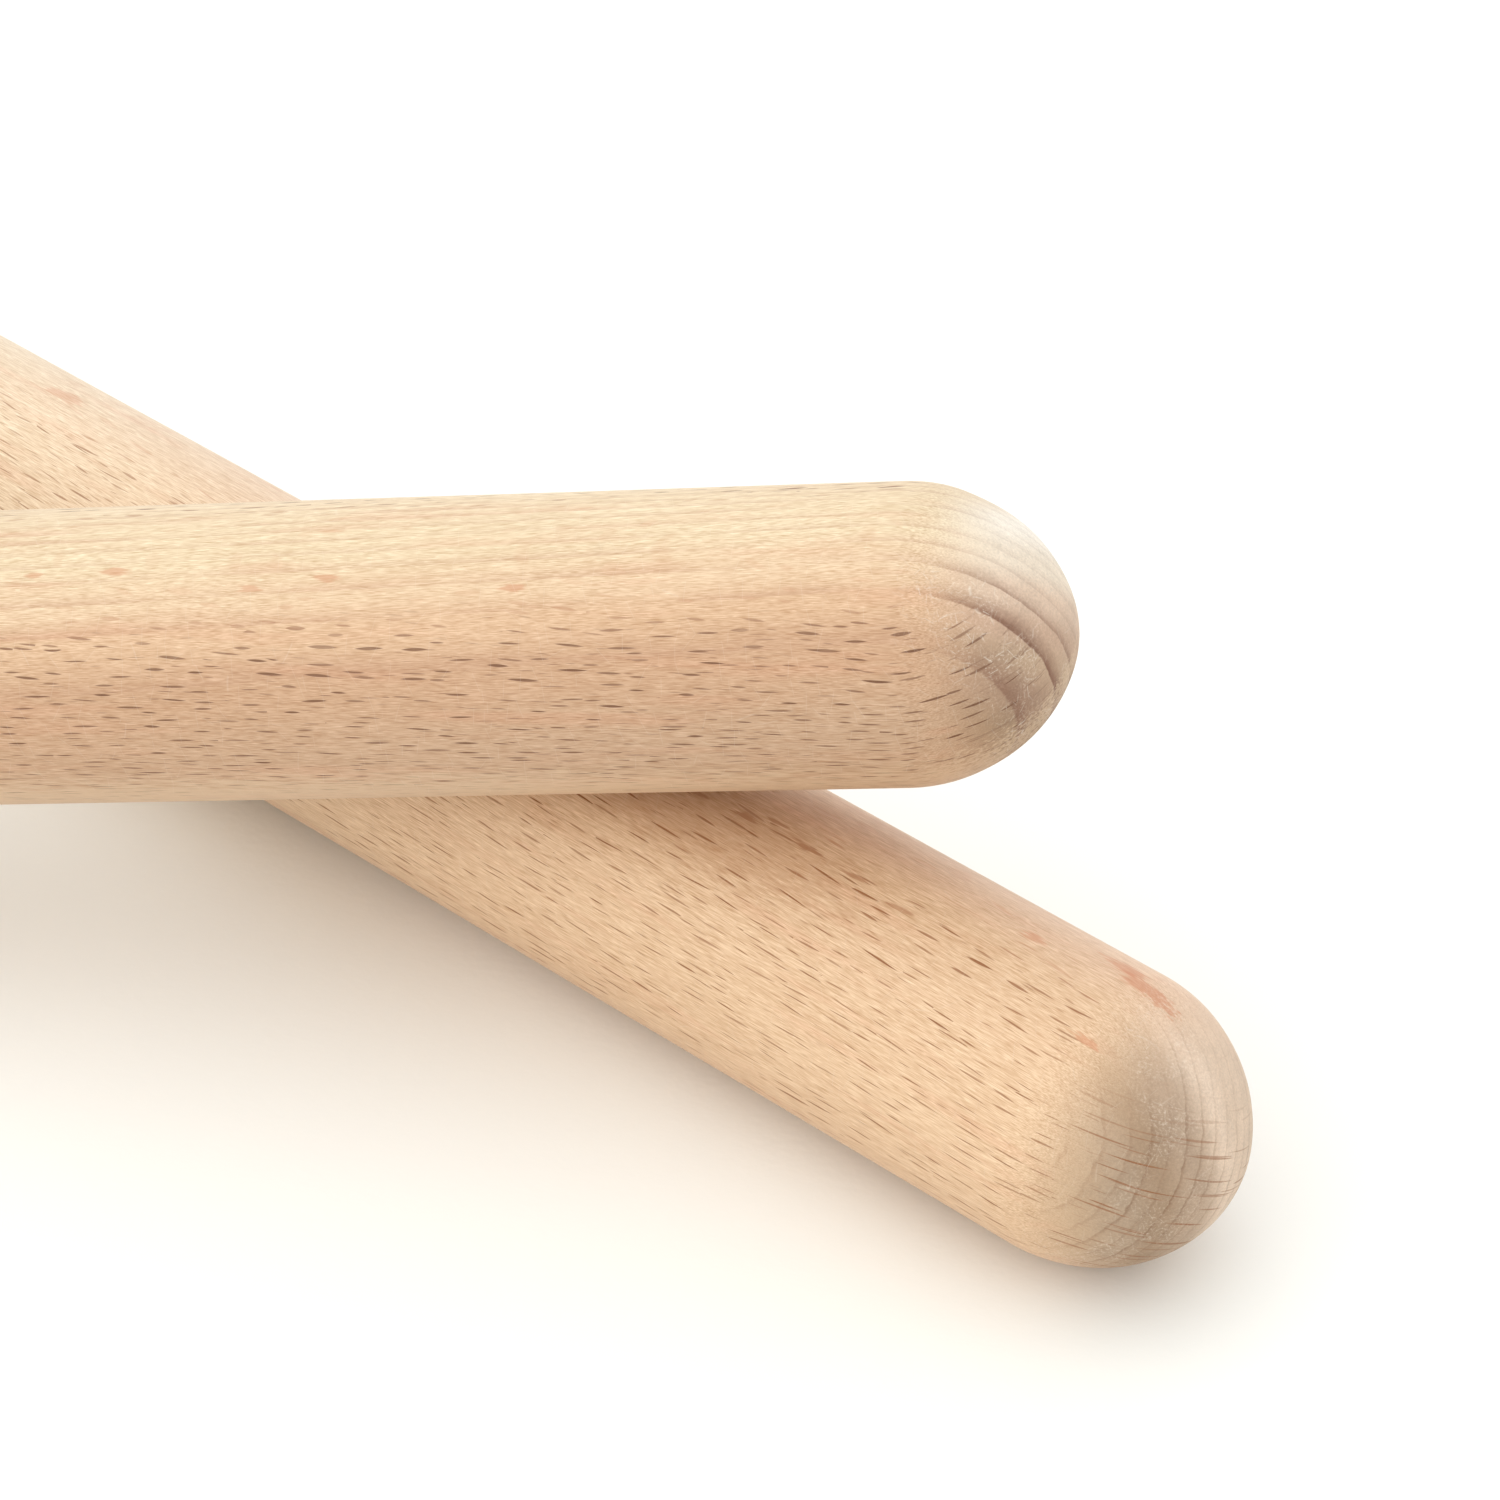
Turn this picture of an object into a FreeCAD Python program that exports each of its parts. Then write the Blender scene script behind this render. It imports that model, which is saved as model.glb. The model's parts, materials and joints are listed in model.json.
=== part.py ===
import FreeCAD, Part

# A pair of claves: two turned beech sticks with domed ends.
#
# The resting clave lies flat on the ground. The striking clave lies across it, with its near dome in the air
# and its far dome on the ground. Both sticks are the same solid turned shape.
#
# Frame: millimetres, +Z up. The ground is Z = 0, the striking clave runs along X in plan with its raised tip
# towards +X, and the origin is on the ground below the middle of the pair.

import math
import os

from FreeCAD import Placement, Rotation, Vector

import Sketcher

# Driving dimensions: alias, value and what it is. Lengths in millimetres, the angle in degrees.
DRIVING = [
    ("clave_length", 200.0, "overall length of a stick, tip to tip"),
    ("clave_diameter", 25.0, "diameter of the straight shaft"),
    ("dome_length", 13.8, "length of each domed end, from the shaft to the tip"),
    ("tip_radius", 10.3, "arc that closes the dome on the axis"),
    ("crossing_angle", 31.4, "angle between the two sticks, seen from above"),
    ("striking_overhang", 45.8, "from the crossing to the raised tip, along the stick"),
    ("resting_overhang", 68.6, "from the crossing to the near tip, along the stick"),
    ("contact_gap", 0.1, "clearance between the two sticks where they cross"),
]
FIRST_ROW = 2

UP = Vector(0, 0, 1)
ALONG = Vector(1, 0, 0)  # a stick's own axis in its body
START = 1  # a sketch edge's start, end and centre points
END = 2
CENTRE = 3
ORIGIN = -1  # the sketch's own origin, and its horizontal axis
FULL_TURN = 360.0
STEEPEST_TILT = 45.0
HALVINGS = 60


def make_sheet(doc):
    """The driving dimensions as a sheet: a name, a value with that name as its alias, and a note in each row."""
    sheet = doc.addObject("Spreadsheet::Sheet", "dims")
    for column, heading in zip("ABC", ("dimension", "value", "note")):
        sheet.set(f"{column}1", heading)
    for row, (alias, value, note) in enumerate(DRIVING, start=FIRST_ROW):
        sheet.set(f"A{row}", alias)
        sheet.set(f"B{row}", str(value))
        sheet.setAlias(f"B{row}", alias)
        sheet.set(f"C{row}", note)
    doc.recompute()
    return sheet


def origin_plane(body, role):
    """One of a body's own origin planes, found by its role."""
    return next(feature for feature in body.Origin.OriginFeatures if feature.Role == role)


def shoulder_radius(sheet):
    """Radius of the arc that leaves the shaft without a step and meets the tip arc without a corner."""
    radius = sheet.clave_diameter / 2
    tip_centre = sheet.dome_length - sheet.tip_radius
    return (tip_centre ** 2 + radius ** 2 - sheet.tip_radius ** 2) / (2 * (radius - sheet.tip_radius))


def draw_profile(sketch, sheet):
    """Half of a stick's outline, from its middle to one tip: the shaft, a shoulder arc and a tip arc."""
    half = sheet.clave_length / 2
    radius = sheet.clave_diameter / 2
    wide = shoulder_radius(sheet)
    shoulder = Vector(half - sheet.dome_length, radius - wide, 0)
    tip = Vector(half - sheet.tip_radius, 0, 0)
    meeting = math.atan2(tip.y - shoulder.y, tip.x - shoulder.x)

    axis = sketch.addGeometry(Part.LineSegment(Vector(0, 0, 0), Vector(half, 0, 0)))
    tip_arc = sketch.addGeometry(Part.ArcOfCircle(Part.Circle(tip, UP, sheet.tip_radius), 0, meeting))
    shoulder_arc = sketch.addGeometry(Part.ArcOfCircle(Part.Circle(shoulder, UP, wide), meeting, math.pi / 2))
    shaft = sketch.addGeometry(Part.LineSegment(Vector(shoulder.x, radius, 0), Vector(0, radius, 0)))
    middle = sketch.addGeometry(Part.LineSegment(Vector(0, radius, 0), Vector(0, 0, 0)))

    for constraint in (
            Sketcher.Constraint("Coincident", axis, START, ORIGIN, START),
            Sketcher.Constraint("PointOnObject", axis, END, ORIGIN),
            Sketcher.Constraint("Coincident", axis, END, tip_arc, START),
            Sketcher.Constraint("PointOnObject", tip_arc, CENTRE, ORIGIN),
            Sketcher.Constraint("Tangent", tip_arc, END, shoulder_arc, START),
            Sketcher.Constraint("Tangent", shoulder_arc, END, shaft, START),
            Sketcher.Constraint("Horizontal", shaft),
            Sketcher.Constraint("Coincident", shaft, END, middle, START),
            Sketcher.Constraint("Coincident", middle, END, ORIGIN, START),
            Sketcher.Constraint("Vertical", middle)):
        sketch.addConstraint(constraint)

    sizes = (
        ("half_length", "dims.clave_length / 2",
         Sketcher.Constraint("DistanceX", ORIGIN, START, axis, END, half)),
        ("shaft_radius", "dims.clave_diameter / 2",
         Sketcher.Constraint("DistanceY", middle, END, middle, START, radius)),
        ("dome_length", "dims.dome_length",
         Sketcher.Constraint("DistanceX", shoulder_arc, END, tip_arc, START, sheet.dome_length)),
        ("tip_radius", "dims.tip_radius",
         Sketcher.Constraint("Radius", tip_arc, sheet.tip_radius)),
    )
    for name, expression, constraint in sizes:
        index = sketch.addConstraint(constraint)
        sketch.renameConstraint(index, name)
        sketch.setExpression(f"Constraints.{name}", expression)


def make_clave(doc, sheet, name):
    """One turned stick along its body's X axis, centred on the body's origin."""
    body = doc.addObject("PartDesign::Body", name)
    body.Label = name

    sketch = body.newObject("Sketcher::SketchObject", f"{name}_profile")
    sketch.AttachmentSupport = [(origin_plane(body, "XY_Plane"), "")]
    sketch.MapMode = "FlatFace"
    draw_profile(sketch, sheet)
    doc.recompute()

    turned = body.newObject("PartDesign::Revolution", f"{name}_turned")
    turned.Profile = sketch
    turned.ReferenceAxis = (sketch, ["H_Axis"])
    turned.Angle = FULL_TURN
    doc.recompute()

    mirrored = body.newObject("PartDesign::Mirrored", f"{name}_mirrored")
    mirrored.Originals = [turned]
    mirrored.MirrorPlane = (origin_plane(body, "YZ_Plane"), [""])
    body.Tip = mirrored
    doc.recompute()
    return body


def stick_direction(plan_angle, tilt):
    """Unit vector along a stick towards its near tip: plan_angle clockwise from +X, tilt above the ground."""
    return Rotation(UP, -plan_angle) * (Rotation(Vector(0, -1, 0), tilt) * ALONG)


def common_normal(direction, other):
    """Unit vector square to both sticks, pointing up."""
    normal = direction.cross(other).normalize()
    return normal if normal.z > 0 else normal * -1


def far_dome_height(sheet, tilt):
    """Height of the striking stick's far dome above the ground when the stick is tilted that much."""
    radius = sheet.clave_diameter / 2
    wide = shoulder_radius(sheet)
    striking = stick_direction(0, tilt)
    resting = stick_direction(sheet.crossing_angle, 0)
    crossing_height = radius + (2 * radius + sheet.contact_gap) * common_normal(striking, resting).z
    far_reach = sheet.clave_length - sheet.dome_length - sheet.striking_overhang
    dome_start_height = crossing_height - far_reach * striking.z
    return dome_start_height - (radius - wide) * math.cos(math.radians(tilt)) - wide


def resting_tilt(sheet):
    """The tilt at which the striking stick's far dome just reaches the ground."""
    low, high = 0.0, STEEPEST_TILT
    for _ in range(HALVINGS):
        tilt = (low + high) / 2
        if far_dome_height(sheet, tilt) > 0:
            low = tilt
        else:
            high = tilt
    return low


def place_claves(doc, sheet, resting, striking):
    """Lay one stick on the ground and the other across it, then put the origin below the middle of the pair."""
    radius = sheet.clave_diameter / 2
    resting_along = stick_direction(sheet.crossing_angle, 0)
    striking_along = stick_direction(0, resting_tilt(sheet))
    crossing = UP * radius
    above = crossing + common_normal(striking_along, resting_along) * (2 * radius + sheet.contact_gap)

    for body, point, along, overhang in (
            (resting, crossing, resting_along, sheet.resting_overhang),
            (striking, above, striking_along, sheet.striking_overhang)):
        centre = point + along * (overhang - sheet.clave_length / 2)
        body.Placement = Placement(centre, Rotation(ALONG, along))
    doc.recompute()

    box = resting.Shape.optimalBoundingBox(False)
    box.add(striking.Shape.optimalBoundingBox(False))
    to_origin = Vector(-box.Center.x, -box.Center.y, 0)
    for body in (resting, striking):
        body.Placement = Placement(body.Placement.Base + to_origin, body.Placement.Rotation)
    doc.recompute()


def check(doc, bodies):
    """Stop before anything is written when an object failed or a body isn't one sound solid."""
    for item in doc.Objects:
        if "Invalid" in item.State or "Error" in item.State:
            raise RuntimeError(f"{item.Label} did not recompute: {item.State}")
    for body in bodies:
        shape = body.Shape
        if shape.isNull() or not shape.isValid() or len(shape.Solids) != 1:
            raise RuntimeError(f"{body.Label} is not one valid solid")


def main():
    doc = FreeCAD.newDocument("claves")
    sheet = make_sheet(doc)
    resting = make_clave(doc, sheet, "resting_clave")
    striking = make_clave(doc, sheet, "striking_clave")
    bodies = (resting, striking)
    place_claves(doc, sheet, resting, striking)
    check(doc, bodies)

    os.makedirs("parts", exist_ok=True)
    for body in bodies:
        body.Shape.exportStep(f"parts/{body.Label}.step")
        box = body.Shape.optimalBoundingBox(False)
        print(f"{body.Label}: {body.Shape.Volume:.1f} mm3, X {box.XMin:.2f} to {box.XMax:.2f}, "
              f"Y {box.YMin:.2f} to {box.YMax:.2f}, Z {box.ZMin:.3f} to {box.ZMax:.2f}")
    clearance = resting.Shape.distToShape(striking.Shape)[0]
    print(f"tilt {resting_tilt(sheet):.3f} degrees, clearance at the crossing {clearance:.4f} mm")


main()
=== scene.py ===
# The looks of a pair of claves: two turned beech sticks, bare and sanded.
#
# Each stick is one closed mesh built around the axis of its CAD node. Its vertices carry their place on the
# stick as the attribute "grain" (along the fibres, across them, and outward from the pith), and one solid
# beech material cuts rings, rays, pores and fibres from those coordinates. So every mark runs through the
# shaft and over the domes, as it does in solid wood.
#
# Lengths are in metres, apart from the material's own, which are in millimetres.

import json
import math

import bpy
import numpy as np
from mathutils import Matrix, Vector


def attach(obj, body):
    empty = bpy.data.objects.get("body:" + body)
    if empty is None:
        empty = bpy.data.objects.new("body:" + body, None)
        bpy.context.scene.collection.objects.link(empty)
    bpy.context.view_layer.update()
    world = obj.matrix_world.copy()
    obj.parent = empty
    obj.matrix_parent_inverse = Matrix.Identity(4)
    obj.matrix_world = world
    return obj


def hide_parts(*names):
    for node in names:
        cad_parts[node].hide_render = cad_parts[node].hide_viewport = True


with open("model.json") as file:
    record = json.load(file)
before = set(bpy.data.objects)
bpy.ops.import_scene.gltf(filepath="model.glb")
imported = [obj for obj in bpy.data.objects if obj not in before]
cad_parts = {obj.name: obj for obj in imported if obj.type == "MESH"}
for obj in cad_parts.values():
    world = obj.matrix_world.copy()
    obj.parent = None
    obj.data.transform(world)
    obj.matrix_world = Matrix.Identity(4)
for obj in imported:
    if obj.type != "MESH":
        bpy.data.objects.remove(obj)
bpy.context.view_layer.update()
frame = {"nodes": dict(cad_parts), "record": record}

MM = 0.001

# The stick's shape. Its length, radius and axis come from the frame.
TIP_RADIUS = 10.3 * MM  # the arc that closes a dome on the axis
SEGMENTS = 288  # round the stick
SHAFT_STEPS = 232
DOME_STEPS = 48

# Lathe and sandpaper leave the surface a little off its true shape: by how much, and in how many waves, with
# the longest and the shortest of them.
SHAFT_WAVER = 0.018 * MM
SHAFT_WAVES = (9, 120 * MM, 30 * MM)
DOME_WAVER = 0.055 * MM
DOME_WAVES = (12, 20 * MM, 6 * MM)
MOST_WAVES_ROUND = 6  # the most crests of one wave round the stick
SINK = 2  # the surface is sunk by this many wavers, so that it goes inward
DOME_ONSET = 2.5  # how soon the domes' own waver sets in, past the shaft
TIP_SHARE = 0.35  # in this share of the radius round a tip, the waver fades out

# How far each stick's bark side is rolled down from facing the camera, and the seed of its waver.
RESTING_TURN = math.radians(17.5)
RESTING_SEED = 11
STRIKING_TURN = math.radians(52.0)
STRIKING_SEED = 23

# The camera: where it looks, seen from the crossing of the sticks, and from where.
AIM = Vector((9.73, 14.43, 0)) * MM
AZIMUTH = math.radians(11.72)
ELEVATION = math.radians(36.0)
DISTANCE = 523.62 * MM
LENS_MM = 143.78
SENSOR_MM = 36.0
NEAR_CLIP = 10 * MM
TO_CAMERA = Vector((math.sin(AZIMUTH) * math.cos(ELEVATION),
                    -math.cos(AZIMUTH) * math.cos(ELEVATION),
                    math.sin(ELEVATION)))

# The light: its mean strength, how much it changes from side to side, its brightest side and its warmest.
LIGHT_LEVEL = 1.03
LIGHT_SLOPE = 0.66
BRIGHT_SIDE = Vector((-0.66, -0.06, 0.75)).normalized()
WARM_SIDE = Vector((-0.8, -0.55, 0.2)).normalized()
WARM_LIGHT = (1.0, 0.972, 0.915)
COOL_LIGHT = (0.945, 0.978, 1.02)

# The floor: plain pale paper with a faint grit.
FLOOR_HALF = 3.0
FLOOR_COLOUR = (0.905, 0.91, 0.885)
FLOOR_ROUGHNESS = 0.7
FLOOR_SPECULAR = 0.2
FLOOR_GRIT = 900.0  # grains to a metre
FLOOR_GRIT_STRENGTH = 0.25
FLOOR_GRIT_HEIGHT = 0.1 * MM


# ---------------------------------------------------------------------------------------------------------
# The sticks in the frame
# ---------------------------------------------------------------------------------------------------------

class Stick:
    """One clave's axis and sizes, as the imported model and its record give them."""

    def __init__(self, name):
        mount = next(m for m in frame["record"]["mounts"] if m["name"] == f"{name}_grip")
        self.name = name
        self.node = f"{name}_clave"
        self.centre = Vector(mount["pos_m"])
        self.axis = Vector(mount["axis"]).normalized()
        self.radius = mount["dims"]["r_mm"] * MM
        self.half_shaft = mount["dims"]["length_mm"] * MM / 2
        corners = frame["nodes"][self.node].data.vertices
        self.half_length = max(abs((corner.co - self.centre).dot(self.axis)) for corner in corners)

    def wood_axes(self, turn):
        """Rotation from the tree's axes (along, across, outward) to the frame. At turn 0 the bark side faces
        the camera, and a positive turn rolls it down towards the ground."""
        facing = (TO_CAMERA - self.axis * TO_CAMERA.dot(self.axis)).normalized()
        outward = Matrix.Rotation(turn, 3, self.axis) @ facing
        across = outward.cross(self.axis)
        return Matrix((self.axis, across, outward)).transposed()


def crossing_point(lower, upper):
    """The point on the lower stick's axis that is nearest to the upper stick's axis."""
    between = lower.centre - upper.centre
    lean = lower.axis.dot(upper.axis)
    along = (lean * upper.axis.dot(between) - lower.axis.dot(between)) / (1 - lean ** 2)
    return lower.centre + lower.axis * along


# ---------------------------------------------------------------------------------------------------------
# Mesh
# ---------------------------------------------------------------------------------------------------------

def dome_profile(stick):
    """One dome's outline, from the shaft to just before the tip: a wide shoulder arc tangent to the shaft,
    then the tip arc. Each point is its distance along and from the axis, and how far it faces the end."""
    offset = stick.half_length - stick.half_shaft - TIP_RADIUS
    wide = (offset ** 2 + stick.radius ** 2 - TIP_RADIUS ** 2) / (2 * (stick.radius - TIP_RADIUS))
    meeting = math.atan2(wide - stick.radius, offset)
    shoulder_length = wide * (math.pi / 2 - meeting)
    arc_length = shoulder_length + TIP_RADIUS * meeting
    points = []
    for step in range(1, DOME_STEPS):
        run = arc_length * step / DOME_STEPS
        if run < shoulder_length:
            angle = math.pi / 2 - run / wide
            along = wide * math.cos(angle)
            away = stick.radius - wide + wide * math.sin(angle)
        else:
            angle = (arc_length - run) / TIP_RADIUS
            along = offset + TIP_RADIUS * math.cos(angle)
            away = TIP_RADIUS * math.sin(angle)
        points.append((stick.half_shaft + along, away, math.cos(angle)))
    return points


def stick_outline(stick):
    """The whole outline between the two tips, with its points as in dome_profile."""
    dome = dome_profile(stick)
    far_dome = [(-along, away, end) for along, away, end in reversed(dome)]
    stations = np.linspace(-stick.half_shaft, stick.half_shaft, SHAFT_STEPS + 1)
    shaft = [(along, stick.radius, 0.0) for along in stations]
    return np.array(far_dome + shaft + dome)


def waver(rng, along, angle, waves, longest, shortest):
    """A smooth random field over the surface, mostly -1 to 1, that closes on itself round the stick."""
    total = np.zeros(np.broadcast(along, angle).shape)
    for _ in range(waves):
        turns = rng.integers(0, MOST_WAVES_ROUND + 1)
        length = rng.uniform(shortest, longest)
        start = rng.uniform(0, 2 * math.pi)
        total += np.sin(turns * angle + along * 2 * math.pi / length + start)
    return total / math.sqrt(waves)


def stick_points(stick, seed):
    """Ring after ring of points along the stick, then its two tips, in the stick's own axes (along, across,
    outward). Also how far each point faces the stick's end, 0 to 1."""
    outline = stick_outline(stick)
    along, away, end = (outline[:, column:column + 1] for column in range(3))
    angle = np.linspace(0, 2 * math.pi, SEGMENTS, endpoint=False)[None]
    rng = np.random.default_rng(seed)
    on_dome = np.clip(end * DOME_ONSET, 0, 1)
    lift = SHAFT_WAVER * (waver(rng, along, angle, *SHAFT_WAVES) - SINK)
    lift += DOME_WAVER * on_dome * (waver(rng, along, angle, *DOME_WAVES) - SINK)
    lift *= np.clip(away / (TIP_SHARE * stick.radius), 0, 1)
    radius = away + np.minimum(lift, 0)
    along = np.broadcast_to(along, radius.shape)
    rings = np.stack([along, radius * np.sin(angle), radius * np.cos(angle)], -1)
    tips = np.array([[-stick.half_length, 0, 0], [stick.half_length, 0, 0]])
    facing = np.append(np.repeat(end.ravel(), SEGMENTS), (1, 1))
    return np.vstack([rings.reshape(-1, 3), tips]), facing


def stick_faces(rings):
    """Quads between that many rings of points, and a fan of triangles at each tip."""
    faces = []
    for ring in range(rings - 1):
        first = ring * SEGMENTS
        for k in range(SEGMENTS):
            a = first + k
            b = first + (k + 1) % SEGMENTS
            faces.append((a, a + SEGMENTS, b + SEGMENTS, b))
    last = (rings - 1) * SEGMENTS
    low_tip = rings * SEGMENTS
    high_tip = low_tip + 1
    for k in range(SEGMENTS):
        following = (k + 1) % SEGMENTS
        faces.append((low_tip, k, following))
        faces.append((high_tip, last + following, last + k))
    return faces


def build_stick(stick, turn, seed):
    """The stick's closed mesh, with the attributes "grain", the place on the stick in millimetres, and
    "end_grain", how far it faces the end."""
    local, end = stick_points(stick, seed)
    points = local @ np.array(stick.wood_axes(turn)).T + np.array(stick.centre)
    mesh = bpy.data.meshes.new(f"{stick.name}_stick")
    mesh.from_pydata(points.tolist(), [], stick_faces(len(local) // SEGMENTS))
    mesh.polygons.foreach_set("use_smooth", [True] * len(mesh.polygons))
    grain = mesh.attributes.new("grain", "FLOAT_VECTOR", "POINT")
    grain.data.foreach_set("vector", (local / MM).ravel().astype(np.float32))
    facing = mesh.attributes.new("end_grain", "FLOAT", "POINT")
    facing.data.foreach_set("value", end.astype(np.float32))
    mesh.update()
    piece = bpy.data.objects.new(f"{stick.name}_stick", mesh)
    bpy.context.scene.collection.objects.link(piece)
    return piece


# ---------------------------------------------------------------------------------------------------------
# Node trees
# ---------------------------------------------------------------------------------------------------------

# The sockets that a Mix node uses for colours.
MIX_INPUTS = (0, 6, 7)
MIX_RESULT = 2

# The noises: each cell's size in millimetres along, across and outward, then the detail and the roughness.
NOISES = {
    "wander": ((40.0, 10.0, 10.0), 1.0, 0.5),
    "ring_waver": ((60.0, 14.0, 14.0), 2.0, 0.5),
    "ring_ripple": ((14.0, 1.3, 1.3), 3.0, 0.6),
    "broken": ((18.0, 2.2, 2.2), 2.0, 0.5),
    "threads": ((3.2, 0.11, 0.11), 2.0, 0.65),
    "fine": ((1.4, 0.065, 0.065), 1.0, 0.5),
    "streaks": ((70.0, 0.55, 0.55), 3.0, 0.6),
    "patches": ((38.0, 7.0, 7.0), 2.0, 0.5),
    "fuzz": ((0.3, 0.2, 0.2), 3.0, 0.7),
    "specks": ((0.8, 0.1, 0.1), 0.0, 0.5),
    "rosy": ((22.0, 1.7, 1.7), 2.0, 0.5),
    "smudges": ((4.0, 2.4, 2.4), 2.0, 0.5),
    "ragged": ((2.2, 0.25, 0.25), 2.0, 0.5),
    "dusty": ((4.0, 4.0, 4.0), 2.0, 0.5),
}


def colour(red, green, blue):
    return (red, green, blue, 1.0)


class Graph:
    """The nodes of a material or a world. Each call adds nodes and returns an output, and each argument that
    feeds a node is a number, a tuple or another output."""

    def __init__(self, owner):
        owner.use_nodes = True
        self.nodes = owner.node_tree.nodes
        self.links = owner.node_tree.links
        self.shader = next(n for n in self.nodes if n.type in ("BSDF_PRINCIPLED", "BACKGROUND"))

    def node(self, kind, output=0, inputs=None, **settings):
        """A new node: one of its outputs, or the node itself where output is None."""
        made = self.nodes.new(kind)
        for key, value in settings.items():
            setattr(made, key, value)
        for key, value in (inputs or {}).items():
            self.feed(made.inputs[key], value)
        return made if output is None else made.outputs[output]

    def feed(self, socket, value):
        if isinstance(value, bpy.types.NodeSocket):
            self.links.new(value, socket)
        else:
            socket.default_value = value

    def math(self, operation, *values, clamp=False):
        inputs = dict(enumerate(values))
        return self.node("ShaderNodeMath", operation=operation, use_clamp=clamp, inputs=inputs)

    def add(self, total, *others):
        for other in others:
            total = self.math("ADD", total, other)
        return total

    def mul(self, product, *others):
        for other in others:
            product = self.math("MULTIPLY", product, other)
        return product

    def sub(self, a, b):
        return self.math("SUBTRACT", a, b)

    def div(self, a, b, clamp=False):
        return self.math("DIVIDE", a, b, clamp=clamp)

    def inverse(self, value):
        """A value of 0 to 1 taken to 1 to 0."""
        return self.sub(1.0, value)

    def around(self, value, width):
        """A value of 0 to 1 taken to half of width below and above 0."""
        return self.mul(self.sub(value, 0.5), width)

    def spread(self, value, low, high):
        """A value of 0 to 1 taken to low to high."""
        return self.node("ShaderNodeMapRange", inputs={"Value": value, "To Min": low, "To Max": high})

    def step(self, value, start, end):
        """0 on start's side, 1 on end's side, with a smooth step between."""
        return self.node("ShaderNodeMapRange", interpolation_type="SMOOTHSTEP",
                         inputs={"Value": value, "From Min": start, "From Max": end})

    def window(self, value, rise, fall):
        """1 between two smooth steps and 0 outside them."""
        return self.mul(self.step(value, *rise), self.inverse(self.step(value, *fall)))

    def vector(self, x, y, z):
        return self.node("ShaderNodeCombineXYZ", inputs={0: x, 1: y, 2: z})

    def split(self, vector):
        return self.node("ShaderNodeSeparateXYZ", output=None, inputs={0: vector}).outputs[:3]

    def vector_math(self, operation, *values, output=0):
        inputs = dict(enumerate(values))
        return self.node("ShaderNodeVectorMath", output=output, operation=operation, inputs=inputs)

    def dot(self, a, b):
        return self.vector_math("DOT_PRODUCT", a, b, output="Value")

    def length(self, vector):
        return self.vector_math("LENGTH", vector, output="Value")

    def noise(self, vector, name):
        """The noise of that name, 0 to 1."""
        cell, detail, rough = NOISES[name]
        scaled = self.vector_math("DIVIDE", vector, cell)
        return self.node("ShaderNodeTexNoise",
                         inputs={"Vector": scaled, "Scale": 1.0, "Detail": detail, "Roughness": rough})

    def scatter(self, vector, cell, loose):
        """Points scattered one to a cell, which stray from even rows by loose, 0 to 1. Returns the way here
        from the nearest one, and its random colour."""
        scaled = self.vector_math("DIVIDE", vector, cell)
        voronoi = self.node("ShaderNodeTexVoronoi", output=None, voronoi_dimensions="3D", feature="F1",
                            inputs={"Vector": scaled, "Scale": 1.0, "Randomness": loose})
        offset = self.vector_math("SUBTRACT", scaled, voronoi.outputs["Position"])
        return self.vector_math("MULTIPLY", offset, cell), voronoi.outputs["Color"]

    def ramp(self, value, stops):
        """A colour that changes with value through the stops, each a value and its colour."""
        low = stops[0][0]
        high = stops[-1][0]
        share = self.node("ShaderNodeMapRange", inputs={"Value": value, "From Min": low, "From Max": high})
        made = self.node("ShaderNodeValToRGB", output=None, inputs={0: share})
        made.color_ramp.interpolation = "EASE"
        elements = made.color_ramp.elements
        for index, (place, tint) in enumerate(stops):
            position = (place - low) / (high - low)
            element = elements[index] if index in (0, 1) else elements.new(position)
            element.position = position
            element.color = tint
        return made.outputs[0]

    def mix(self, factor, a, b, blend="MIX"):
        made = self.node("ShaderNodeMix", output=None, data_type="RGBA", blend_type=blend,
                         clamp_factor=True)
        for index, value in zip(MIX_INPUTS, (factor, a, b)):
            self.feed(made.inputs[index], value)
        return made.outputs[MIX_RESULT]

    def tint(self, base, tone):
        """The base colour times a tone, channel by channel."""
        return self.mix(1.0, base, tone, "MULTIPLY")


# ---------------------------------------------------------------------------------------------------------
# Beech
# ---------------------------------------------------------------------------------------------------------
#
# Lengths are in millimetres. A pair of numbers called a step is where a smooth step starts and ends. A share
# is how much of a colour is mixed in, and a width is how far a value strays in all, both sides together.

# How far the fibres wander across, and where they leave the rings in place as they lean: near the tip.
WANDER_WIDTH = 1.0
LEAN_PIVOT = 95.0

# A ring's dark late wood, over the ring's own depth from 0 to 1: a broad band and a thin line, which both
# end where the next ring starts. Each ring has a number, counted from FIRST_RING, that picks its strength.
BAND_STEP = (0.3, 0.95)
LINE_STEP = (0.76, 0.93)
RING_END_STEP = (0.955, 1.0)
FIRST_RING = 40.0
BROKEN_STEP = (0.3, 0.62)

# Side grain: how far each noise takes its tone, and the rosy patches.
TONE_WIDTHS = {"threads": 0.5, "fine": 1.05, "streaks": 0.26, "patches": 0.14}
SPECK_STEP = (0.68, 0.8)
SPECK_TONE = 0.16
TONE_TINT = (0.72, 1.0, 1.3)  # a darker fibre is also a warmer one
ROSY_STEP = (0.5, 0.75)
ROSY_SHARE = 0.28

# End grain: how much of its own colour the far dome keeps, and how its tone strays.
FAR_END_STEP = (-40.0, 40.0)
FAR_END_SHARE = 0.5
FUZZ_WIDTH = 0.6
SMUDGE_WIDTH = 0.3
END_TURN = 0.5  # how far the end-grain colour turns from the rings' own outward direction, as a slope
LEAST_BARE = 0.15  # how much of a ring shows at depths short of the look's bare_step
DUSTED_RINGS = 0.4  # and where the dome is dusted

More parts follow.
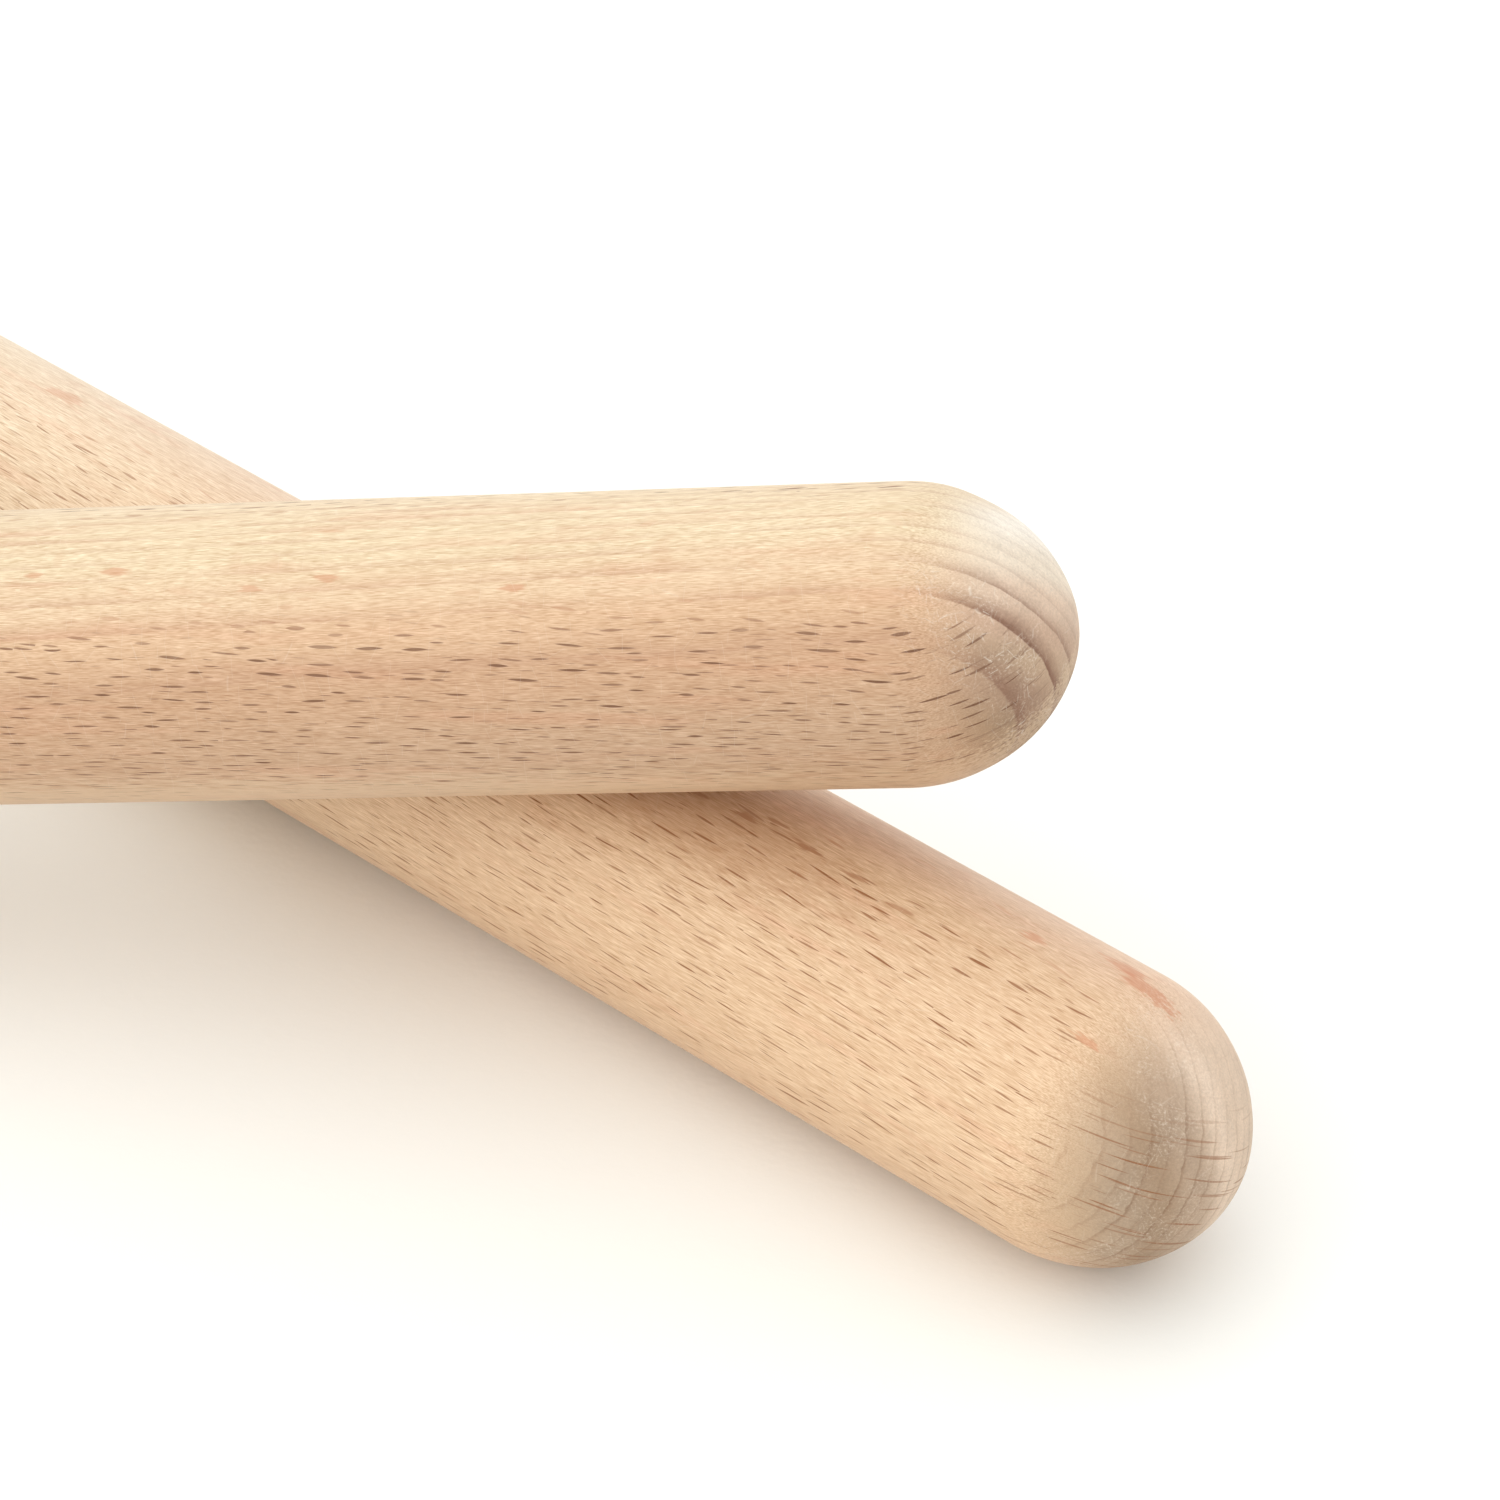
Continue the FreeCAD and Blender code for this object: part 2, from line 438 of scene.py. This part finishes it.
# Rays. They are met edge on where the surface faces along the rings' radius and on the ends, and flat in
# between. Small ones are everywhere, and wide ones show only on the domes.
SMALL_RAYS = {
    "cell": (2.4, 0.55, 5.0),
    "loose": 0.9,
    "half_height": (0.5, 1.15),
    "half_width": (0.035, 0.065),
    "reach": (1.0, 2.4),
    "soft": 0.03,
}
WIDE_RAYS = {
    "cell": (12.0, 1.2, 7.5),
    "loose": 0.85,
    "half_height": (4.5, 6.0),
    "half_width": (0.085, 0.15),
    "reach": (2.0, 3.9),
    "soft": 0.05,
}
RAY_SLANT = 0.09  # the width of the slope at which a ray leans from the fibres
LEAST_RAY = 0.6  # the faintest ray's strength
SLANT_PICK = 7.0  # these two draw fresh random numbers from a ray's random colour
REACH_PICK = 9.0
OUTWARD_STEP = (0.3, 0.65)  # where they are met edge on, by how much the surface faces along that radius
EDGE_ON_STEP = (0.2, 0.5)  # and by how far it faces the end
DOME_STEP = (0.05, 0.3)  # where a dome starts, by how far it faces the end
COVER = 0.92  # how much of a buried or dusted ray is hidden on the domes
PALE_BIG = 0.6  # what is left of the big rays on the pale stretch
END_SMALL = 0.4  # and of the small ones on end grain
END_WIDE_STEP = (0.22, 0.42)  # where the wide ones show, by how far the dome faces the end
BIG_SHARES = (0.15, 0.94)  # of its colour, met flat and met edge on
SMALL_SHARES = (0.05, 0.55)

# Flecks and the painted patches listed with them: how their ends fray along the threads, how ragged they are
# and how their edges fade.
FRAY_WIDTH = 1.2
RAGGED_WIDTH = 2.2
SPOT_EDGE_STEP = (0.55, 1.1)

# Sanding marks and dust. The hairs lie every way, and the cross marks mostly across the stick.
HAIRS = {"cell": 0.8, "half_length": 0.5, "half_width": 0.05, "squash": (1.0, 1.0, 1.0)}
CROSS_MARKS = {"cell": 1.9, "half_length": 1.2, "half_width": 0.04, "squash": (1.0, 0.25, 0.25)}
FADE_FROM = 0.6  # a scratch fades from this share of its length
DUST_SOFT = (1.5, 1.0)  # the dusty zone's edges fade this far out and in
DUSTY_STEP = (0.35, 0.6)
CLEAN_HAIRS = 0.05
CROSS_SHARE = 0.14
FLUFF_STEP = (0.5, 0.75)
FLUFF_SHARE = 0.45

# Gloss and relief.
ROUGHNESS = 0.5
END_ROUGHNESS = 0.18
THREAD_ROUGHNESS = 0.25
SPECULAR = 0.36
# Heights and depths are shares of BUMP_DISTANCE.
THREAD_HEIGHT = 0.5
FINE_HEIGHT = 0.3
RAY_DEPTH = 0.9
SMALL_RAY_DEPTH = 0.35
FUZZ_HEIGHT = 0.9
RING_DEPTH = 0.5
BUMP_STRENGTH = 0.8
BUMP_DISTANCE = 0.03


class Beech(Graph):
    """Bare sanded beech, cut from the tree's own coordinates."""

    def __init__(self, material, look, radius):
        super().__init__(material)
        self.look = look
        self.radius = radius
        self.find_place()
        self.find_rings()
        self.find_fibres()
        base = self.side_grain()
        base = self.add_end_grain(base)
        base = self.add_rays(base)
        base = self.add_flecks_and_painted_light(base)
        base = self.add_dust(base)
        self.feed(self.shader.inputs["Base Color"], base)
        self.set_surface()

    def find_place(self):
        """The place on the stick, and the place in the tree, whose fibres wander a little, lean away from
        the stick's own axis and dive out of it."""
        look = self.look
        self.grain = self.node("ShaderNodeAttribute", output="Vector", attribute_name="grain")
        self.end = self.node("ShaderNodeAttribute", output="Fac", attribute_name="end_grain")
        self.along, self.across, self.outward = self.split(self.grain)
        shifted = self.vector_math("ADD", self.grain, look["shift"])
        wander = self.around(self.noise(shifted, "wander"), WANDER_WIDTH)
        from_pivot = self.sub(self.along, LEAN_PIVOT)
        self.leaned = self.add(self.across, wander, self.mul(from_pivot, look["grain_lean"]))
        self.dived = self.add(self.outward, self.mul(from_pivot, look["grain_dive"]))
        place = self.vector(self.along, self.leaned, self.dived)
        self.wood = self.vector_math("ADD", place, look["shift"])

    def find_rings(self):
        """Growth rings: shells round a pith that lies well outside the stick, each darker towards its late
        wood."""
        look = self.look
        from_pith = self.length(self.vector(0.0, self.leaned, self.add(self.dived, look["pith"])))
        stray = self.around(self.noise(self.wood, "ring_waver"), look["ring_waver"])
        ripple = self.around(self.noise(self.wood, "ring_ripple"), look["ring_ripple"])
        self.depth = self.add(self.sub(from_pith, look["pith"]), stray, ripple)
        bend = self.mul(self.depth, self.depth, look["ring_growth"])
        count = self.add(self.div(self.depth, look["ring_width"]), bend, look["ring_phase"])
        phase = self.math("FRACT", count)
        band = self.window(phase, BAND_STEP, RING_END_STEP)
        line = self.window(phase, LINE_STEP, RING_END_STEP)
        number = self.math("FLOOR", self.add(count, FIRST_RING))
        pick = self.node("ShaderNodeTexWhiteNoise", noise_dimensions="1D", output="Value",
                         inputs={"W": number})
        shade = self.add(self.mul(band, look["band_share"]), self.mul(line, 1.0 - look["band_share"]))
        self.ring = self.mul(shade, self.spread(pick, look["ring_least"], 1.0))
        self.broken = self.step(self.noise(self.wood, "broken"), *BROKEN_STEP)

    def find_fibres(self):
        """Long fine threads that turn to specks on end grain, slower streaks and patches, and torn fuzz."""
        self.tones = {name: self.noise(self.wood, name) for name in TONE_WIDTHS}
        self.threads = self.tones["threads"]
        self.fuzz = self.noise(self.wood, "fuzz")

    def side_grain(self):
        """Colour of the side grain between the marks."""
        look = self.look
        base = self.ramp(self.depth, look["side"])
        self.paled = self.step(self.along, *look["pale_step"])
        base = self.mix(self.paled, base, look["pale"])
        base = self.mix(self.mul(self.ring, self.broken, look["late_share"]), base, look["late"])
        rosy = self.step(self.noise(self.wood, "rosy"), *ROSY_STEP)
        base = self.mix(self.mul(rosy, ROSY_SHARE), base, look["rosy"])

        specks = self.step(self.noise(self.wood, "specks"), *SPECK_STEP)
        tone = self.mul(specks, SPECK_TONE)
        for name, width in TONE_WIDTHS.items():
            tone = self.add(tone, self.around(self.tones[name], width))
        tone = self.vector_math("MULTIPLY", self.vector(tone, tone, tone), TONE_TINT)
        return self.tint(base, self.vector_math("ADD", (1.0, 1.0, 1.0), tone))

    def add_end_grain(self, base):
        """End grain: greyer than the side grain, paler on the pith side, which lies up and back as the
        sticks rest, and darker on the bark side, down and to the front; with broad ring bands and a dusty
        fuzz.
        """
        look = self.look
        end_kept = self.spread(self.step(self.along, *FAR_END_STEP), FAR_END_SHARE, 1.0)
        self.open_end = self.mul(self.step(self.end, *look["end_step"]), end_kept)
        self.dusted = self.step(self.across, *look["dusted_step"])
        end_colour = self.ramp(self.sub(self.depth, self.mul(self.leaned, END_TURN)), look["end_side"])
        bare = self.spread(self.step(self.depth, *look["bare_step"]), LEAST_BARE, 1.0)
        whole = self.spread(self.broken, look["end_broken"], 1.0)
        seen = self.mul(bare, whole, self.spread(self.dusted, 1.0, DUSTED_RINGS))
        end_colour = self.mix(self.mul(self.ring, seen, look["end_late_share"]), end_colour, look["end_late"])
        smudges = self.around(self.noise(self.wood, "smudges"), SMUDGE_WIDTH)
        tone = self.add(1.0, self.around(self.fuzz, FUZZ_WIDTH), smudges)
        end_colour = self.tint(end_colour, self.vector(tone, tone, tone))
        return self.mix(self.open_end, base, end_colour)

    def ribbons(self, cell, loose, half_height, half_width, reach, soft):
        """Wood rays: thin upright ribbons that run outward through the rings. Returns the cut, 0 to 1.

        cell is the mean spacing along, across and outward, and loose how far the ribbons stray from even
        rows. half_height, half_width and reach are each a range of a ribbon's size each way from its middle,
        and soft is how far its edge fades.
        """
        offset, random_colour = self.scatter(self.wood, cell, loose)
        along, across, outward = self.split(offset)
        pick_height, pick_width, pick_strength = self.split(random_colour)
        slant = self.around(self.math("FRACT", self.mul(pick_strength, SLANT_PICK)), RAY_SLANT)
        across = self.add(across, self.mul(along, slant))
        height = self.spread(pick_height, *half_height)
        width = self.spread(self.mul(pick_width, pick_width), *half_width)
        length = self.spread(self.math("FRACT", self.mul(pick_height, REACH_PICK)), *reach)
        far_along = self.div(along, height)
        far_outward = self.div(outward, length)
        far = self.add(self.mul(far_along, far_along), self.mul(far_outward, far_outward))
        inside = self.sub(self.mul(width, self.inverse(far)), self.math("ABSOLUTE", across))
        cut = self.div(inside, soft, clamp=True)
        return self.mul(cut, self.spread(pick_strength, LEAST_RAY, 1.0))

    def add_rays(self, base):
        """Dark slits where the saw meets the rays edge on, wide reddish flecks where it runs along them."""
        look = self.look
        facing = self.div(self.math("ABSOLUTE", self.outward), self.radius, clamp=True)
        edge_on = self.math("MAXIMUM", self.step(facing, *OUTWARD_STEP), self.step(self.end, *EDGE_ON_STEP))
        buried = self.inverse(self.step(self.depth, *look["rays_step"]))
        hidden = self.math("MAXIMUM", buried, self.dusted)
        clear = self.inverse(self.mul(hidden, self.step(self.end, *DOME_STEP), COVER))

        big = self.mul(self.ribbons(**look["rays"]), self.spread(self.paled, 1.0, PALE_BIG), clear)
        self.big = self.mul(big, self.spread(self.open_end, 1.0, look["end_big"]))
        self.small = self.mul(self.ribbons(**SMALL_RAYS), clear, self.spread(self.open_end, 1.0, END_SMALL))
        self.wide = self.mul(self.ribbons(**WIDE_RAYS), clear, self.step(self.end, *END_WIDE_STEP))

        ray_colour = self.mix(edge_on, look["fleck"], look["slit"])
        base = self.mix(self.mul(self.big, self.spread(edge_on, *BIG_SHARES)), base, ray_colour)
        base = self.mix(self.mul(self.small, self.spread(edge_on, *SMALL_SHARES)), base, look["slit"])
        return self.mix(self.mul(self.wide, look["end_rays"]), base, look["slit"])

    def add_flecks_and_painted_light(self, base):
        """The few broad flecks, and the patches of painted shade and painted light listed with them, each
        given by its place along the stick and its angle round it, its half length and half width, its share
        and the name of its colour."""
        frayed = self.add(self.along, self.around(self.threads, FRAY_WIDTH))
        turned = self.mul(self.math("ARCTAN2", self.across, self.outward), self.radius)
        surface = self.vector(frayed, turned, 0.0)
        ragged = self.around(self.noise(self.wood, "ragged"), RAGGED_WIDTH)
        for place, degrees, half_length, half_width, share, tint in self.look["spots"]:
            centre = (place, math.radians(degrees) * self.radius, 0.0)
            offset = self.vector_math("SUBTRACT", surface, centre)
            far = self.length(self.vector_math("DIVIDE", offset, (half_length, half_width, 1.0)))
            spot = self.inverse(self.step(self.add(far, ragged), *SPOT_EDGE_STEP))
            base = self.mix(self.mul(spot, share), base, self.look[tint])
        return base

    def scratches(self, cell, half_length, half_width, squash):
        """Short straight scratches, 0 to 1. Each lies square to a random direction, whose parts along,
        across and outward squash scales."""
        offset, random_colour = self.scatter(self.grain, (cell, cell, cell), 1.0)
        turned = self.vector_math("SUBTRACT", random_colour, (0.5, 0.5, 0.5))
        normal = self.vector_math("NORMALIZE", self.vector_math("MULTIPLY", turned, squash))
        side = self.math("ABSOLUTE", self.dot(offset, normal))
        thin = self.inverse(self.div(side, half_width, clamp=True))
        faded = self.step(self.length(offset), half_length * FADE_FROM, half_length)
        return self.mul(thin, self.inverse(faded))

    def add_dust(self, base):
        """Sanding: pale scratches and dust, mostly on the end grain and in one zone of its depth."""
        look = self.look
        low, high = look["dust_depth"]
        out, inward = DUST_SOFT
        in_zone = self.window(self.depth, (low - out, low + inward), (high - inward, high + out))
        dusty = self.step(self.noise(self.grain, "dusty"), *DUSTY_STEP)
        dusty = self.mul(dusty, self.step(self.end, *DOME_STEP), in_zone)
        hairs = self.mul(self.scratches(**HAIRS), look["hairs"], self.spread(dusty, CLEAN_HAIRS, 1.0))
        cross = self.mul(self.scratches(**CROSS_MARKS), CROSS_SHARE)
        fluff = self.mul(dusty, self.step(self.fuzz, *FLUFF_STEP), FLUFF_SHARE)
        return self.mix(self.add(hairs, cross, fluff), base, look["dust"])

    def set_surface(self):
        """Roughness, gloss and relief."""
        thread_rough = self.around(self.threads, THREAD_ROUGHNESS)
        rough = self.add(ROUGHNESS, self.mul(self.open_end, END_ROUGHNESS), thread_rough)
        self.feed(self.shader.inputs["Roughness"], rough)
        self.shader.inputs["Specular IOR Level"].default_value = SPECULAR

        fine = self.mul(self.tones["fine"], FINE_HEIGHT)
        height = self.add(self.mul(self.threads, THREAD_HEIGHT), fine)
        height = self.sub(height, self.mul(self.math("MAXIMUM", self.big, self.wide), RAY_DEPTH))
        height = self.sub(height, self.mul(self.small, SMALL_RAY_DEPTH))
        height = self.add(height, self.mul(self.fuzz, self.open_end, FUZZ_HEIGHT))
        height = self.sub(height, self.mul(self.ring, self.open_end, RING_DEPTH))
        bump = self.node("ShaderNodeBump", inputs={"Height": height, "Strength": BUMP_STRENGTH,
                                                   "Distance": BUMP_DISTANCE * MM})
        self.feed(self.shader.inputs["Normal"], bump)


# One look for each stick. A depth is counted outward from the stick's axis, along the rings' radius.
#   shift: where in the noises the stick lies
#   grain_lean, grain_dive: the fibres' slopes, across and outward
#   pith: how far away the rings' middle is
#   ring_phase, ring_width, ring_growth: the ring count at the stick's axis, a ring's width there, and how
#     the count bends with depth
#   ring_waver, ring_ripple: the widths by which they stray
#   ring_least, band_share: the faintest ring, and the broad band's share against the thin line's
#   late_share, late: how strongly late wood shows on side grain, and its colour
#   end_step: where a dome turns to end grain, by how far it faces the end
#   bare_step, end_broken, end_late_share, end_late: the depth from which the rings show on end grain, how
#     much of them is left where they break, how strongly they show, and their colour
#   dusted_step: where dust covers the domes, across the stick
#   rays, rays_step: the big rays, and the depth from which the domes show any rays
#   end_big, end_rays: how strongly big and wide rays show on end grain
#   side, end_side: the colours of side grain and end grain by depth
#   pale_step, pale: where along the stick it turns paler, and its colour there, which on the striking stick
#       also paints the floor's light onto its lower front
#   rosy, slit, fleck, brown, dust: the other colours; brown also paints the contact shade under the crossing
#   dust_depth, hairs: the depths between which dust lies, and how strongly its hairs show
#   spots: the flecks, and the patches of painted shade and painted light, as in
#       Beech.add_flecks_and_painted_light
RESTING_LOOK = {
    "shift": (40.0, 3.0, 0.0),
    "grain_lean": 0.018,
    "grain_dive": 0.01,
    "pith": 55.0,
    "ring_phase": 0.4,
    "ring_width": 1.4,
    "ring_growth": 0.003,
    "ring_waver": 0.9,
    "ring_ripple": 0.6,
    "ring_least": 0.35,
    "band_share": 0.3,
    "late_share": 0.15,
    "late": colour(0.50, 0.27, 0.15),
    "end_step": (0.1, 0.75),
    "bare_step": (-9.0, 2.0),
    "end_broken": 0.55,
    "end_late_share": 0.85,
    "end_late": colour(0.24, 0.135, 0.075),
    "dusted_step": (0.5, 7.0),
    "rays": {
        "cell": (4.8, 1.0, 5.6),
        "loose": 0.8,
        "half_height": (1.1, 2.3),
        "half_width": (0.07, 0.11),
        "reach": (3.4, 5.2),
        "soft": 0.035,
    },
    "rays_step": (-9.0, 2.0),
    "end_big": 0.75,
    "end_rays": 1.0,
    "side": (
        (-13.0, colour(0.745, 0.545, 0.385)),
        (0.0, colour(0.74, 0.52, 0.365)),
        (3.5, colour(0.685, 0.465, 0.31)),
        (8.0, colour(0.66, 0.455, 0.29)),
        (13.0, colour(0.68, 0.475, 0.305)),
    ),
    "end_side": (
        (-10.0, colour(0.66, 0.50, 0.37)),
        (-3.0, colour(0.68, 0.52, 0.39)),
        (-1.0, colour(0.72, 0.56, 0.43)),
        (2.9, colour(0.455, 0.33, 0.235)),
        (6.5, colour(0.355, 0.243, 0.157)),
        (9.0, colour(0.40, 0.292, 0.203)),
        (13.0, colour(0.44, 0.31, 0.20)),
    ),
    "pale_step": (34.0, -90.0),
    "pale": colour(0.75, 0.62, 0.455),
    "rosy": colour(0.62, 0.34, 0.21),
    "slit": colour(0.26, 0.095, 0.03),
    "fleck": colour(0.56, 0.22, 0.11),
    "brown": colour(0.38, 0.17, 0.08),
    "dust": colour(0.78, 0.70, 0.60),
    "dust_depth": (2.0, 8.0),
    "hairs": 0.24,
    "spots": (
        # The first, broad brown patch lies in the crevice under the striking stick: painted contact shade,
        # with some of the wood's own redness.
        (46.0, 44.0, 20.0, 4.5, 0.28, "brown"),
        (88.5, 80.0, 3.4, 1.15, 0.62, "fleck"),
        (85.5, 85.0, 2.4, 0.9, 0.6, "fleck"),
        (78.0, 71.0, 1.3, 0.8, 0.5, "fleck"),
        (44.5, 52.0, 1.8, 0.32, 0.6, "brown"),
        (50.0, 53.5, 1.9, 0.35, 0.7, "brown"),
        (53.0, 58.0, 1.5, 0.3, 0.6, "brown"),
        (56.5, 54.5, 2.0, 0.36, 0.7, "brown"),
        (62.0, 54.0, 1.7, 0.32, 0.65, "brown"),
        (67.5, 51.0, 1.6, 0.3, 0.55, "brown"),
        (89.0, 41.5, 1.6, 0.4, 0.5, "fleck"),
        (-39.5, 74.5, 2.5, 1.0, 0.4, "fleck"),
    ),
}
STRIKING_LOOK = {
    "shift": (-20.0, 0.0, 0.0),
    "grain_lean": 0.045,
    "grain_dive": 0.022,
    "pith": 85.0,
    "ring_phase": -4.68,
    "ring_width": 1.59,
    "ring_growth": -0.0235,
    "ring_waver": 0.4,
    "ring_ripple": 0.35,
    "ring_least": 0.7,
    "band_share": 0.7,
    "late_share": 0.4,
    "late": colour(0.44, 0.24, 0.15),
    "end_step": (0.2, 0.7),
    "bare_step": (0.0, 5.0),
    "end_broken": 0.85,
    "end_late_share": 1.0,
    "end_late": colour(0.225, 0.112, 0.07),
    "dusted_step": (20.0, 30.0),
    "rays": {
        "cell": (4.2, 0.85, 6.0),
        "loose": 0.8,
        "half_height": (0.75, 1.45),
        "half_width": (0.075, 0.125),
        "reach": (5.0, 7.0),
        "soft": 0.035,
    },
    "rays_step": (4.0, 8.0),
    "end_big": 1.0,
    "end_rays": 0.35,
    "side": (
        (-13.0, colour(0.70, 0.55, 0.37)),
        (-1.0, colour(0.70, 0.56, 0.375)),
        (3.0, colour(0.68, 0.50, 0.33)),
        (6.0, colour(0.63, 0.42, 0.265)),
        (9.0, colour(0.55, 0.345, 0.215)),
        (13.0, colour(0.52, 0.35, 0.23)),
    ),
    "end_side": (
        (-13.0, colour(0.74, 0.60, 0.45)),
        (-9.0, colour(0.87, 0.80, 0.70)),
        (-4.5, colour(0.80, 0.685, 0.55)),
        (-1.2, colour(0.68, 0.51, 0.385)),
        (1.8, colour(0.54, 0.37, 0.265)),
        (4.0, colour(0.49, 0.345, 0.235)),
        (6.7, colour(0.395, 0.26, 0.175)),
        (10.0, colour(0.35, 0.233, 0.145)),
        (13.5, colour(0.375, 0.243, 0.15)),
    ),
    "pale_step": (20.0, -90.0),
    "pale": colour(0.70, 0.53, 0.36),
    "rosy": colour(0.60, 0.32, 0.20),
    "slit": colour(0.15, 0.06, 0.026),
    "fleck": colour(0.56, 0.27, 0.15),
    "dust": colour(0.82, 0.75, 0.65),
    "dust_depth": (3.0, 9.0),
    "hairs": 0.5,
    "spots": (
        (14.5, 83.5, 1.0, 0.36, 0.55, "fleck"),
        (21.5, 84.0, 1.3, 0.4, 0.6, "fleck"),
        (33.5, 75.0, 1.0, 0.34, 0.5, "fleck"),
        (40.0, 78.5, 1.3, 0.4, 0.6, "fleck"),
        (56.0, 72.5, 1.2, 0.38, 0.6, "fleck"),
        (39.5, 102.0, 1.5, 0.3, 0.4, "fleck"),
        # A long pale strip down the striking stick's lower front: painted light, the glow that the bright
        # floor throws up onto it.
        (20.0, -28.0, 120.0, 5.0, 0.5, "pale"),
    ),
}


# ---------------------------------------------------------------------------------------------------------
# Floor, light and camera
# ---------------------------------------------------------------------------------------------------------

def floor_paper():
    material = bpy.data.materials.new("floor_paper")
    g = Graph(material)
    where = g.node("ShaderNodeTexCoord", output="Object")
    grit = g.node("ShaderNodeTexNoise", inputs={"Vector": where, "Scale": FLOOR_GRIT, "Detail": 2.0})
    g.shader.inputs["Base Color"].default_value = colour(*FLOOR_COLOUR)
    g.shader.inputs["Roughness"].default_value = FLOOR_ROUGHNESS
    g.shader.inputs["Specular IOR Level"].default_value = FLOOR_SPECULAR
    bump = g.node("ShaderNodeBump", inputs={"Height": grit, "Strength": FLOOR_GRIT_STRENGTH,
                                            "Distance": FLOOR_GRIT_HEIGHT})
    g.feed(g.shader.inputs["Normal"], bump)
    return material


def add_floor():
    corners = [(x * FLOOR_HALF, y * FLOOR_HALF, 0) for x, y in ((-1, -1), (1, -1), (1, 1), (-1, 1))]
    mesh = bpy.data.meshes.new("floor")
    mesh.from_pydata(corners, [], [(0, 1, 2, 3)])
    mesh.materials.append(floor_paper())
    floor = bpy.data.objects.new("floor", mesh)
    bpy.context.scene.collection.objects.link(floor)


def add_light():
    """One huge soft studio light all round: stronger from above and the left, warmer from the front left."""
    world = bpy.data.worlds.new("studio")
    g = Graph(world)
    way = g.node("ShaderNodeTexCoord", output="Generated")
    # The dot product of -1 to 1 becomes a factor of 0 to 1.
    warm = g.math("MULTIPLY_ADD", g.dot(way, WARM_SIDE), 0.5, 0.5)
    strength = g.math("MULTIPLY_ADD", g.dot(way, BRIGHT_SIDE), LIGHT_SLOPE, LIGHT_LEVEL)
    g.feed(g.shader.inputs["Color"], g.mix(warm, colour(*COOL_LIGHT), colour(*WARM_LIGHT)))
    g.feed(g.shader.inputs["Strength"], strength)
    bpy.context.scene.world = world
    bpy.context.scene.view_settings.view_transform = "Standard"


def add_camera(crossing):
    data = bpy.data.cameras.new("camera")
    data.sensor_width = SENSOR_MM
    data.lens = LENS_MM
    data.clip_start = NEAR_CLIP
    camera = bpy.data.objects.new("camera", data)
    camera.location = crossing + AIM + TO_CAMERA * DISTANCE
    camera.rotation_euler = TO_CAMERA.to_track_quat("Z", "Y").to_euler()
    bpy.context.scene.collection.objects.link(camera)
    bpy.context.scene.camera = camera


# ---------------------------------------------------------------------------------------------------------
# The object
# ---------------------------------------------------------------------------------------------------------

def add_clave(stick, body, look, turn, seed):
    piece = build_stick(stick, turn, seed)
    material = bpy.data.materials.new(f"{stick.name}_beech")
    Beech(material, look, stick.radius / MM)
    piece.data.materials.append(material)
    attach(piece, body)
    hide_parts(stick.node)


resting = Stick("resting")
striking = Stick("striking")
add_clave(resting, "resting", RESTING_LOOK, RESTING_TURN, RESTING_SEED)
add_clave(striking, "striking", STRIKING_LOOK, STRIKING_TURN, STRIKING_SEED)
add_floor()
add_light()
add_camera(crossing_point(resting, striking))
